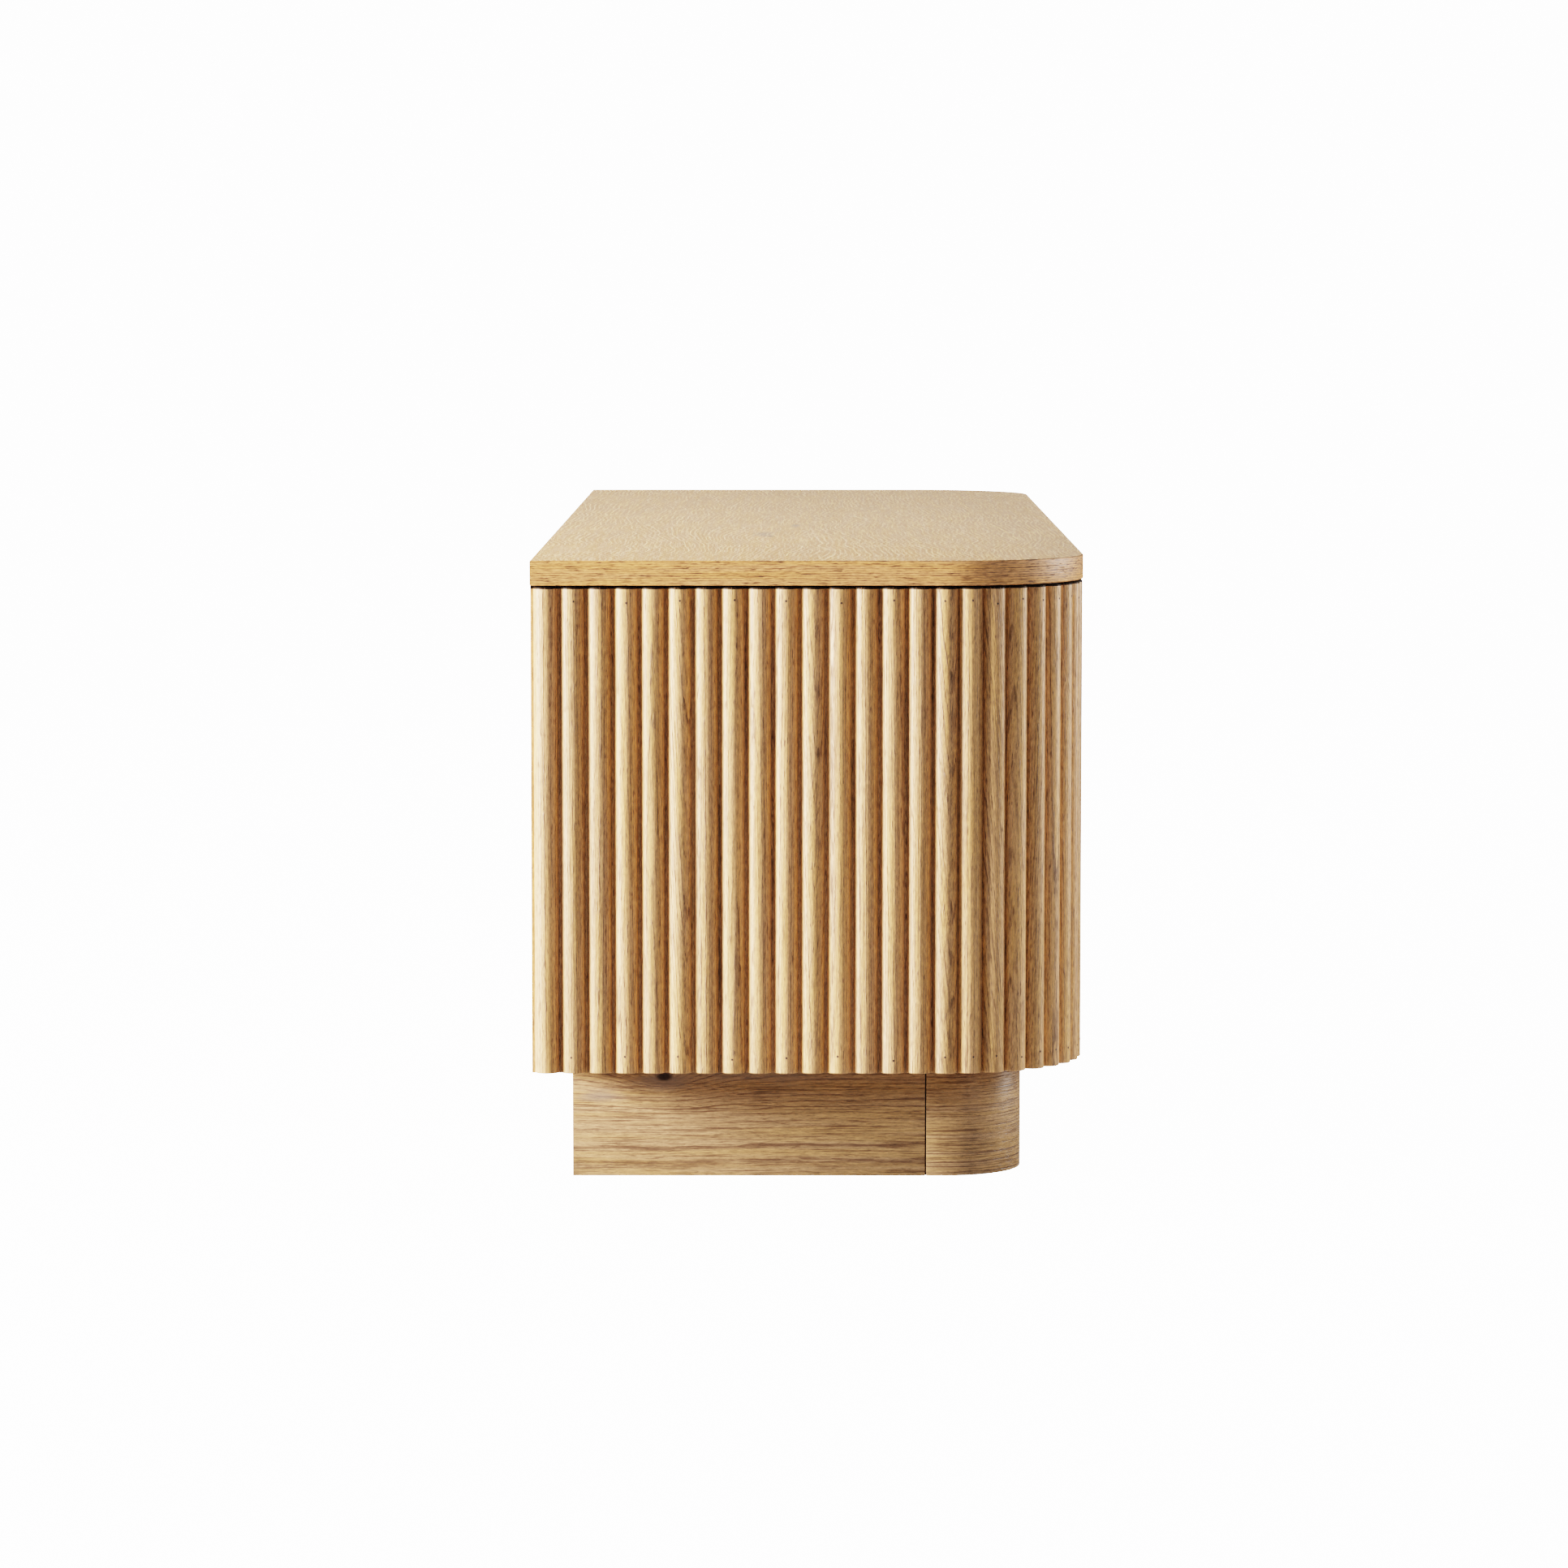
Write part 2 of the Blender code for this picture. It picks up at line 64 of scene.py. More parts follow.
# The reeding's sizes, as the CAD model has them
REED_PITCH = 0.0215
REED_WIDTH = 0.0195
REED_R = 0.010
REED_MARGIN = 0.0017
REED_BACKING = 0.0015
END_REEDS = 15
CORNER_REEDS = 9
BODY_INSET = 0.0005
TOP_CORNER_R = 0.116
REED_HEIGHT = REED_R - math.sqrt(REED_R**2 - (REED_WIDTH / 2) ** 2)
CORNER = (-LENGTH / 2 + TOP_CORNER_R, FRONT_Y + TOP_CORNER_R)
BODY_R = TOP_CORNER_R - BODY_INSET
SIDE_RUN = BACK_Y - CORNER[1]
CORNER_ARC = BODY_R * math.pi / 2

SEED = 41


# Materials


class Graph:
    """Short calls for building one material's nodes."""

    def __init__(self, name):
        self.material = bpy.data.materials.new(name)
        self.material.use_nodes = True
        self.tree = self.material.node_tree
        self.shader = self.tree.nodes["Principled BSDF"]

    def node(self, kind, inputs=(), **settings):
        made = self.tree.nodes.new(kind)
        for key, value in settings.items():
            setattr(made, key, value)
        for key, value in dict(inputs).items():
            self.put(value, made.inputs[key])
        return made

    def put(self, value, socket):
        if isinstance(value, bpy.types.NodeSocket):
            self.tree.links.new(value, socket)
        else:
            socket.default_value = value

    def math(self, operation, *values, clamp=False):
        made = self.node("ShaderNodeMath", dict(enumerate(values)), operation=operation)
        made.use_clamp = clamp
        return made.outputs[0]

    def stretch(self, vector, scale):
        made = self.node("ShaderNodeVectorMath", {0: vector, 1: scale}, operation="MULTIPLY")
        return made.outputs[0]

    def noise(self, vector, scale=1.0, detail=2.0, roughness=0.5):
        inputs = {"Vector": vector, "Scale": scale, "Detail": detail, "Roughness": roughness}
        return self.node("ShaderNodeTexNoise", inputs).outputs["Fac"]

    def remap(self, value, low, high, to_low=0.0, to_high=1.0, smooth=True):
        inputs = {"Value": value, 1: low, 2: high, 3: to_low, 4: to_high}
        kind = "SMOOTHSTEP" if smooth else "LINEAR"
        return self.node("ShaderNodeMapRange", inputs, interpolation_type=kind).outputs[0]

    def mix(self, factor, first, second, blend="MIX"):
        made = self.node("ShaderNodeMix", data_type="RGBA", blend_type=blend)
        self.put(factor, made.inputs[0])
        self.put(first, made.inputs[6])
        self.put(second, made.inputs[7])
        return made.outputs[2]

    def bump(self, height, strength, distance):
        inputs = {"Height": height, "Strength": strength, "Distance": distance}
        self.put(self.node("ShaderNodeBump", inputs).outputs[0], self.shader.inputs["Normal"])

    def attribute(self, name, output="Vector"):
        return self.node("ShaderNodeAttribute", attribute_name=name).outputs[output]


def rgb(r, g, b):
    return (r, g, b, 1.0)


# The plain recipe for oak. Spacing, warp and leaf are in metres: the distance of the rings, how far they
# sway, and the width of the strips that a board is glued from. Band says where in a ring the porous wood
# starts, is full, starts to fade and ends. A size counts noise cells per metre: across twice, then along.
OAK = {
    "light": rgb(0.68, 0.368, 0.156),
    "dark": rgb(0.30, 0.162, 0.078),
    "pore": rgb(0.16, 0.082, 0.040),
    "spacing": 0.0021,
    "band": (0.52, 0.86, 0.92, 1.0),
    "warp": 0.014,
    "warp_size": (7.0, 7.0, 1.0),
    "wobble": 0.9,
    "leaf": None,
    "ring": 0.90,
    "pores": 0.75,
    "streak": 0.70,
    "streak_size": (850.0, 850.0, 17.0),
    "patch": 0.12,
    "fibre": 0.78,
    "hue": 0.45,
    "roughness": 0.42,
    "specular": 0.42,
    "bump": 0.6,
}

WOBBLE_SIZE = (210.0, 210.0, 24.0)
BREAK_SIZE = (170.0, 170.0, 30.0)
FINE_SIZE = (1100.0, 1100.0, 160.0)
DASH_SIZE = (950.0, 950.0, 85.0)
PATCH_SIZE = (30.0, 30.0, 3.5)
HUE_SIZE = (140.0, 140.0, 5.0)

LEAF_OFFSET = (0.35, 1.35)
LEAF_SHIFT = 20.0
LEAF_SEED = 9.0
KNOT_FADE = -0.22
KNOT_PULL = 6.5
DASH_FLOOR = 0.62
DASH_IN_RING = -0.15
DASH_GAIN = 11.0
TONE_SPREAD = 0.11
WARM_TINT = rgb(1.03, 1.0, 0.82)
COOL_TINT = rgb(0.95, 0.98, 1.20)
SMUDGE_COLOR = rgb(0.20, 0.15, 0.125)
KNOT_COLOR = rgb(0.035, 0.018, 0.01)
OAK_BUMP_HEIGHT = 0.00035


def spot_reach(g, vector, spot):
    """How many sizes away from a spot a point is. The spot is longer along the grain than across it."""
    across, along, size, stretch = spot
    inputs = {0: vector, 1: (across, 0.0, along)}
    moved = g.node("ShaderNodeVectorMath", inputs, operation="SUBTRACT").outputs[0]
    flat = g.stretch(moved, (1 / size, 0.0, 1 / size / stretch))
    return g.node("ShaderNodeVectorMath", {0: flat}, operation="LENGTH").outputs["Value"]


def random_of(g, value, shift=0.0):
    inputs = {"W": g.math("ADD", value, shift)}
    return g.node("ShaderNodeTexWhiteNoise", inputs, noise_dimensions="1D").outputs["Value"]


def make_oak(name, knots=(), smudges=(), **changes):
    """Oak with rings about a pith near the origin of the grain attribute, whose third component is along it.

    A knot or a smudge is (across, along, size, stretch along the grain)."""
    spec = {**OAK, **changes}
    g = Graph(name)
    vector = g.attribute("grain")
    tone = g.attribute("tone", "Fac")
    parts = g.node("ShaderNodeSeparateXYZ", {0: vector}).outputs
    across, wood = parts[0], vector
    if spec["leaf"]:
        leaf = g.math("FLOOR", g.math("DIVIDE", across, spec["leaf"]))
        across = g.math("MULTIPLY_ADD", leaf, -spec["leaf"], across)
        away = g.remap(random_of(g, leaf), 0.0, 1.0, *LEAF_OFFSET, smooth=False)
        across = g.math("MULTIPLY_ADD", away, spec["leaf"], across)
        along = g.math("MULTIPLY_ADD", random_of(g, leaf, LEAF_SEED), LEAF_SHIFT, parts[2])
        wood = g.node("ShaderNodeCombineXYZ", {0: parts[0], 1: parts[1], 2: along}).outputs[0]
    sway = g.noise(g.stretch(wood, spec["warp_size"]), detail=2.0)
    across = g.math("MULTIPLY_ADD", g.math("SUBTRACT", sway, 0.5), spec["warp"], across)
    hearts = None
    for knot in knots:
        reach = spot_reach(g, vector, knot)
        pull = g.math("EXPONENT", g.math("MULTIPLY", reach, KNOT_FADE))
        across = g.math("MULTIPLY_ADD", pull, knot[2] * KNOT_PULL, across)
        heart = g.remap(reach, 0.45, 1.15, 1.0, 0.0)
        hearts = heart if hearts is None else g.math("MAXIMUM", hearts, heart)
    depth = g.math("MULTIPLY", parts[1], parts[1])
    radius = g.math("SQRT", g.math("MULTIPLY_ADD", across, across, depth))
    wobble = g.noise(g.stretch(wood, WOBBLE_SIZE), detail=2.5)
    phase = g.math("MULTIPLY_ADD", wobble, spec["wobble"], g.math("DIVIDE", radius, spec["spacing"]))
    ring = g.math("FRACT", phase)
    start, full, fall, end = spec["band"]
    early = g.math("MULTIPLY", g.remap(ring, start, full), g.remap(ring, fall, end, 1.0, 0.0))
    strength = g.remap(random_of(g, g.math("FLOOR", phase)), 0.0, 1.0, 0.4, 1.0)
    early = g.math("MULTIPLY", early, strength)
    breaks = g.noise(g.stretch(wood, BREAK_SIZE), detail=2.0)
    early = g.math("MULTIPLY", early, g.remap(breaks, 0.34, 0.62, 0.5, 1.0))

    streak = g.noise(g.stretch(wood, spec["streak_size"]), detail=3.0, roughness=0.6)
    streak = g.remap(streak, 0.50, 0.64)
    fine = g.noise(g.stretch(wood, FINE_SIZE), detail=3.0, roughness=0.7)
    dashes = g.noise(g.stretch(wood, DASH_SIZE), detail=2.0, roughness=0.6)
    floor = g.math("MULTIPLY_ADD", early, DASH_IN_RING, DASH_FLOOR)
    dashes = g.math("MULTIPLY", g.math("SUBTRACT", dashes, floor), DASH_GAIN, clamp=True)
    patch = g.noise(g.stretch(wood, PATCH_SIZE), detail=3.0)
    hue = g.noise(g.stretch(wood, HUE_SIZE), detail=2.0)

    color = g.mix(g.math("MULTIPLY", early, spec["ring"]), spec["light"], spec["dark"])
    color = g.mix(g.math("MULTIPLY", streak, spec["streak"]), color, spec["dark"])
    shade = g.math("MULTIPLY_ADD", g.math("SUBTRACT", patch, 0.5), spec["patch"] * 2, 1.0)
    shade = g.math("MULTIPLY_ADD", g.math("SUBTRACT", fine, 0.5), spec["fibre"] * 2, shade)
    shade = g.math("MULTIPLY_ADD", tone, TONE_SPREAD, shade)
    gray = g.node("ShaderNodeCombineXYZ", {0: shade, 1: shade, 2: shade}).outputs[0]
    color = g.mix(1.0, color, gray, "MULTIPLY")
    tint = g.mix(g.remap(hue, 0.35, 0.65), WARM_TINT, COOL_TINT)
    color = g.mix(spec["hue"], color, g.mix(1.0, color, tint, "MULTIPLY"))
    color = g.mix(g.math("MULTIPLY", dashes, spec["pores"]), color, spec["pore"])
    for smudge in smudges:
        edge = g.math("MULTIPLY_ADD", breaks, 0.9, spot_reach(g, vector, smudge))
        color = g.mix(g.remap(edge, 0.6, 1.6, 0.55, 0.0), color, SMUDGE_COLOR)
    if hearts is not None:
        color = g.mix(hearts, color, KNOT_COLOR)
    g.put(color, g.shader.inputs["Base Color"])
    rough = g.math("MULTIPLY_ADD", dashes, 0.2, spec["roughness"] - 0.02)
    rough = g.math("MULTIPLY_ADD", g.math("SUBTRACT", fine, 0.5), 0.14, rough)
    g.put(rough, g.shader.inputs["Roughness"])
    g.shader.inputs["Specular IOR Level"].default_value = spec["specular"]
    height = g.math("ADD", g.math("MULTIPLY", dashes, -0.8), g.math("MULTIPLY", early, -0.45))
    height = g.math("ADD", height, g.math("MULTIPLY", fine, 0.35))
    g.bump(height, spec["bump"], OAK_BUMP_HEIGHT)
    return g.material


def make_metal(name, color, roughness, brushed):
    g = Graph(name)
    place = g.node("ShaderNodeTexCoord").outputs["Object"]
    lines = g.noise(g.stretch(place, brushed), detail=3.0, roughness=0.6)
    wear = g.noise(g.stretch(place, (60, 60, 60)), detail=4.0)
    dull = tuple(0.72 * c for c in color[:3]) + (1.0,)
    g.put(g.mix(g.remap(wear, 0.35, 0.7), color, dull), g.shader.inputs["Base Color"])
    g.shader.inputs["Metallic"].default_value = 1.0
    g.put(g.math("MULTIPLY_ADD", lines, 0.3, roughness - 0.12), g.shader.inputs["Roughness"])
    g.bump(lines, 0.25, 0.00015)
    return g.material


def make_plastic(name, color, roughness):
    g = Graph(name)
    place = g.node("ShaderNodeTexCoord").outputs["Object"]
    grain = g.noise(g.stretch(place, (1400, 1400, 1400)), detail=2.0)
    rub = g.noise(g.stretch(place, (35, 35, 35)), detail=3.0)
    light = tuple(1.6 * c + 0.01 for c in color[:3]) + (1.0,)
    g.put(g.mix(g.remap(rub, 0.4, 0.75), color, light), g.shader.inputs["Base Color"])
    g.put(g.math("MULTIPLY_ADD", rub, 0.2, roughness - 0.1), g.shader.inputs["Roughness"])
    g.bump(grain, 0.35, 0.0002)
    return g.material


def make_nail():
    g = Graph("pin_nail")
    place = g.node("ShaderNodeTexCoord").outputs["Object"]
    spots = g.noise(g.stretch(place, (900, 900, 900)), detail=2.0)
    g.put(g.mix(spots, rgb(0.05, 0.03, 0.02), rgb(0.13, 0.085, 0.05)), g.shader.inputs["Base Color"])
    g.shader.inputs["Roughness"].default_value = 0.7
    return g.material


# Mesh building


class Builder:
    """Gathers points and faces, with a grain coordinate for each corner, and a tone and a slot for each face."""

    def __init__(self):
        self.points = []
        self.faces = []
        self.grain = []
        self.tone = []
        self.slots = []

    def add(self, points, faces, grain, tone=0.0, slot=0):
        """Grain is a function of a point and of its face's number in this call."""
        start = len(self.points)
        self.points += points
        for number, face in enumerate(faces):
            self.faces.append([start + i for i in face])
            self.grain.append([grain(points[i], number) for i in face])
            self.tone.append(tone)
            self.slots.append(slot[number] if isinstance(slot, list) else slot)

    def make(self, name, materials, sharp=35):
        mesh = bpy.data.meshes.new(name)
        mesh.from_pydata(self.points, [], self.faces)
        for material in materials:
            mesh.materials.append(material)
        mesh.polygons.foreach_set("material_index", self.slots)
        grain = mesh.attributes.new("grain", "FLOAT_VECTOR", "CORNER")
        grain.data.foreach_set("vector", [x for face in self.grain for corner in face for x in corner])
        tone = mesh.attributes.new("tone", "FLOAT", "FACE")
        tone.data.foreach_set("value", self.tone)
        mesh.shade_smooth()
        mesh.set_sharp_from_angle(angle=math.radians(sharp))
        mesh.update()
        obj = bpy.data.objects.new(name, mesh)
        bpy.context.scene.collection.objects.link(obj)
        return obj


def install(obj, body, nodes):
    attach(obj, body)
    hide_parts(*nodes)
    return obj


def log_place(rng):
    """A place in a log for one slat: how its section is turned, where the pith is, and how it leans."""
    tilt = 0.012 if rng.random() < 0.65 else 0.07
    turn = rng.uniform(0, 2 * math.pi)
    far = rng.uniform(0.035, 0.110)
    heading = rng.uniform(0, 2 * math.pi)
    lean = (rng.uniform(-tilt, tilt), rng.uniform(-tilt, tilt))
    start = rng.uniform(0, 40)
    center = (far * math.cos(heading), far * math.sin(heading))

    def grain(across, out, along):
        a = across * math.cos(turn) - out * math.sin(turn) + center[0] + lean[0] * along
        b = across * math.sin(turn) + out * math.cos(turn) + center[1] + lean[1] * along
        return (a, b, along + start)

    return grain


SLAT_STEPS = 14
SLAT_LEVELS = 8
CHAMFER = 0.0005
BACK_EASE = 0.0003
MOST_BOW = 0.00012
# The top band of each slat, SHADOW_CAP tall, its top face and a strip along the top of its backing take the
# reeding's third material: near-black painted shade for the gap under the top on the body's reeding, plain reed
# oak on the doors and partitions.
SHADOW_CAP = 0.0016
NAIL_SLOT = 1
GAP_SLOT = 2


def place_on(base, normal, across, out, z):
    """A point at a height, so far across and out from the middle of a slat's back."""
    tangent = (-normal[1], normal[0])
    x = base[0] + tangent[0] * across + normal[0] * out
    y = base[1] + tangent[1] * across + normal[1] * out
    return (x, y, z)


def add_slat(builder, base, normal, low, high, rng):
    """One half-round slat. Base is the middle of its flat back, and normal points out of the body."""
    half = math.asin(REED_WIDTH / 2 / REED_R)
    section = []
    for i in range(SLAT_STEPS + 1):
        angle = half * (2 * i / SLAT_STEPS - 1)
        out = REED_R * math.cos(angle) - (REED_R - REED_HEIGHT)
        section.append((REED_R * math.sin(angle), out))
    section.insert(0, (section[0][0] + BACK_EASE, 0.0))
    section.append((section[-1][0] - BACK_EASE, 0.0))
    place = log_place(rng)
    bow = rng.uniform(-MOST_BOW, MOST_BOW)
    levels = [(low, 1), (low + CHAMFER, 0)]
    levels += [(low + (high - low) * i / SLAT_LEVELS, 0) for i in range(1, SLAT_LEVELS)]
    levels += [(high - SHADOW_CAP, 0), (high - CHAMFER, 0), (high, 1)]
    points, local = [], []
    for z, shrink in levels:
        along = (z - low) / (high - low)
        drift = bow * math.sin(math.pi * along)
        for across, out in section:
            a = across * (1 - shrink * CHAMFER / (REED_WIDTH / 2)) + drift
            o = out - shrink * CHAMFER * out / REED_HEIGHT
            points.append(place_on(base, normal, a, o, z))
            local.append((across, out, z))
    count = len(section)
    faces = []
    for level in range(len(levels) - 1):
        for i in range(count):
            j = (i + 1) % count
            low_i, low_j = level * count + i, level * count + j
            faces.append((low_i, low_i + count, low_j + count, low_j))
    last = (len(levels) - 1) * count
    faces.append(tuple(range(count)))
    faces.append(tuple(reversed(range(last, last + count))))
    lookup = dict(zip(points, local))
    # The top band and the top face go in the third slot, which holds painted shade on the body's reeding.
    capped = 2 * count
    slots = [0] * (len(faces) - 2 - capped) + [GAP_SLOT] * capped + [0, GAP_SLOT]
    builder.add(points, faces, lambda p, n: place(*lookup[p]), rng.uniform(-1, 1), slots)


NAIL_R = 0.0008
NAIL_SIDES = 8
NAIL_RINGS = ((NAIL_R, 0.00006), (NAIL_R * 0.8, 0.00012))
NAIL_TALL = 1.15
NAIL_FROM_FOOT = 0.0125
NAIL_FROM_TOP = 0.0120
NAIL_STRAY = 0.002


def add_nail(builder, base, normal, across, z):
    """A filled pin hole: a low disc with a sloping rim, just proud of the slat's face."""
    drop = REED_R - REED_HEIGHT
    points = []
    for radius, lift in NAIL_RINGS:
        for i in range(NAIL_SIDES):
            angle = 2 * math.pi * i / NAIL_SIDES
            a = across + radius * math.cos(angle)
            o = math.sqrt(REED_R**2 - a**2) - drop + lift
            height = z + radius * NAIL_TALL * math.sin(angle)
            points.append(place_on(base, normal, a, o, height))
    faces = []
    for i in range(NAIL_SIDES):
        j = (i + 1) % NAIL_SIDES
        faces.append((i, j, NAIL_SIDES + j, NAIL_SIDES + i))
    faces.append(tuple(range(NAIL_SIDES, 2 * NAIL_SIDES)))
    builder.add(points, faces, lambda p, n: p, 0.0, NAIL_SLOT)


def body_place(run):
    """(crest point, outward normal) on the left end's outline, forward along the end and round the corner."""
    if run <= SIDE_RUN:
        return (CORNER[0] - BODY_R, BACK_Y - run), (-1.0, 0.0)
    angle = min((run - SIDE_RUN) / BODY_R, math.pi / 2)
    normal = (-math.cos(angle), -math.sin(angle))
    extra = max(run - SIDE_RUN - CORNER_ARC, 0.0)
    return (CORNER[0] + BODY_R * normal[0] + extra, CORNER[1] + BODY_R * normal[1]), normal


STRIP_LAP = 0.0016
STRIP_RISE = 0.0009
STRIP_PITH = 0.05


def add_strip(builder, outside, inside, low, high, slot):
    """A closed band between two outlines, for the backing sheet and the strip along its top edge, which on the
    body's reeding is painted near-black as shade in the gap under the top.
    """
    outline = outside + inside[::-1]
    count = len(outline)
    points = [(x, y, z) for z in (low, high) for x, y in outline]
    faces = [(i, (i + 1) % count, count + (i + 1) % count, count + i) for i in range(count)]
    for i in range(len(outside) - 1):
        a, b, c, d = i, i + 1, count - 2 - i, count - 1 - i
        faces.append((d, c, b, a))
        faces.append((count + a, count + b, count + c, count + d))
    builder.add(points, faces, lambda p, n: (p[0] + STRIP_PITH, p[1] + STRIP_PITH, p[2]), -1.0, slot)


def make_reeding(node, body, places, backing, nails, cap, rng):
    """All the slats of one reeded panel. Places are (crest point, normal), and backing is (outside, inside). Cap
    is the material of the slats' top band, top face and the backing's top strip: near-black painted shade on the
    body's reeding.
    """
    low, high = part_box(node)
    builder = Builder()
    for index, (crest, normal) in enumerate(places):
        base = (crest[0] - normal[0] * REED_HEIGHT, crest[1] - normal[1] * REED_HEIGHT)
        add_slat(builder, base, normal, low.z, high.z, rng)
        if nails(index):
            foot = low.z + NAIL_FROM_FOOT + rng.uniform(-NAIL_STRAY, NAIL_STRAY)
            head = high.z - NAIL_FROM_TOP + rng.uniform(-NAIL_STRAY, NAIL_STRAY)
            for z in (foot, head):
                add_nail(builder, base, normal, rng.uniform(-NAIL_STRAY, NAIL_STRAY), z)
    add_strip(builder, *backing, low.z, high.z - STRIP_LAP, 0)
    # The strip along the top edge takes the third material, near-black painted shade on the body's reeding.
    add_strip(builder, *backing, high.z - STRIP_LAP, high.z + STRIP_RISE, GAP_SLOT)
    name = node.replace("reeding", "slats").replace("reed", "slat")
    return install(builder.make(name, [REED_OAK, NAIL, cap]), body, [node])


def mirror_place(place, side):
    (x, y), (nx, ny) = place
    return ((-side * x, y), (-side * nx, ny))


def offset_path(runs, inward, side):
    points = []
    for run in runs:
        crest, normal = body_place(run)
        points.append((-side * (crest[0] - normal[0] * inward), crest[1] - normal[1] * inward))
    return points


def backing_of(runs, side):
    """The outside and the inside of the backing sheet behind a run of slats."""
    backing = [offset_path(runs, inward, side) for inward in (REED_HEIGHT, REED_HEIGHT + REED_BACKING)]
    if side > 0:
        backing = [list(reversed(path)) for path in backing]
    return backing


BACK_CLEAR = 0.0003
JOINT_CLEAR = 0.00015
CORNER_STEPS = 24


def reed_the_body(rng):
    end_stop = REED_MARGIN + END_REEDS * REED_PITCH
    for side, word in ((-1, "left"), (1, "right")):
        centers = [REED_MARGIN + (i + 0.5) * REED_PITCH for i in range(END_REEDS)]
        places = [mirror_place(body_place(run), side) for run in centers]
        backing = backing_of([BACK_CLEAR, end_stop - JOINT_CLEAR], side)
        make_reeding(f"end_reeding_{word}", "carcass", places, backing, lambda i: i % 2 == 1, SHADOW_OAK, rng)

        centers = [end_stop + (i + 0.5) * REED_PITCH for i in range(CORNER_REEDS)]
        places = [mirror_place(body_place(run), side) for run in centers]
        start, length = end_stop + JOINT_CLEAR, centers[-1] + REED_WIDTH / 2 - end_stop - JOINT_CLEAR
        runs = [start + length * i / CORNER_STEPS for i in range(CORNER_STEPS + 1)]
        backing = backing_of(runs, side)
        make_reeding(f"corner_reeding_{word}", "carcass", places, backing, lambda i: True, SHADOW_OAK, rng)


def reed_the_front(rng):
    """The slats on the doors and on the partitions between them."""
    strips = [(f"door_reeding_{word}", f"door_{word}") for word in ("left", "center", "right")]
    strips += [(f"partition_reed_{word}", "carcass") for word in ("left", "right")]
    for node, body in strips:
        low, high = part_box(node)
        gaps = round((high.x - low.x - REED_WIDTH) / REED_PITCH)
        pitch = (high.x - low.x - REED_WIDTH) / gaps if gaps else 0.0
        places = [((low.x + REED_WIDTH / 2 + i * pitch, low.y), (0.0, -1.0)) for i in range(gaps + 1)]
        front, back = low.y + REED_HEIGHT, high.y
        backing = ([(low.x, front), (high.x, front)], [(low.x, back), (high.x, back)])
        make_reeding(node, body, places, backing, lambda i: i % 2 == 1, REED_OAK, rng)


# The top


TOP_ARRIS = 0.0009
ARRIS_STEPS = 3
TOP_STEPS = 28
EDGE_PITH = (0.061, 0.030)
TOP_PITH = 0.0277
MERGE = 1e-6


def make_top():
    low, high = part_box("top_panel")
    quarter = [math.pi / 2 * i / TOP_STEPS for i in range(TOP_STEPS + 1)]
    left = [(-math.cos(a), -math.sin(a)) for a in quarter]

    def outline(inset):
        reach = TOP_CORNER_R - inset
        near = [(CORNER[0] + reach * x, CORNER[1] + reach * y) for x, y in left]
        far = [(-x, y) for x, y in reversed(near)]
        back = high.y - inset
        return [(low.x + inset, back), *near, *far, (-low.x - inset, back)]

    run = [0.0]
    edge = outline(0.0)
    for first, second in zip(edge, edge[1:] + edge[:1]):
        run.append(run[-1] + math.dist(first, second))
    angles = [math.pi / 2 * step / ARRIS_STEPS for step in range(ARRIS_STEPS + 1)]
    rings = [(TOP_ARRIS * (1 - math.sin(a)), low.z + TOP_ARRIS * (1 - math.cos(a))) for a in angles]
    rings += [(TOP_ARRIS * (1 - math.cos(a)), high.z - TOP_ARRIS * (1 - math.sin(a))) for a in angles]
    points = []
    for inset, z in rings:
        points += [(x, y, z) for x, y in outline(inset)]
    count = len(edge)
    faces, where = [], []
    for ring in range(len(rings) - 1):
        for i in range(count):
            j = (i + 1) % count
            a, b = ring * count + i, ring * count + j
            faces.append((a, b, b + count, a + count))
            where.append((i, ring))
    builder = Builder()

    def edge_grain(point, number):
        i, ring = where[number]
        start = Vector(edge[i])
        along = run[i] + (Vector(point[:2]) - start).length
        return (point[2] + EDGE_PITH[0], EDGE_PITH[1], along)

    builder.add(points, faces, edge_grain, 0.0, 1)
    bottom, top = points[:count], points[-count:]

    def flat_grain(point, number):
        return (point[1], TOP_PITH, point[0])

    builder.add(bottom[::-1], [tuple(range(count))], flat_grain, -0.3, 0)
    builder.add(top, [tuple(range(count))], flat_grain, 0.0, 0)
    obj = builder.make("top_slab", [TOP_OAK, EDGE_OAK])
    tidy = bmesh.new()
    tidy.from_mesh(obj.data)
    bmesh.ops.remove_doubles(tidy, verts=tidy.verts, dist=MERGE)
    tidy.to_mesh(obj.data)
    tidy.free()
    return install(obj, "carcass", ["top_panel"])


# Boards with eased edges, made from the CAD nodes' shapes


BOARD_EASE = 0.0006
PLINTH_EASE = 0.0004
CORNER_EASE = 0.0003
WELD = 1e-5


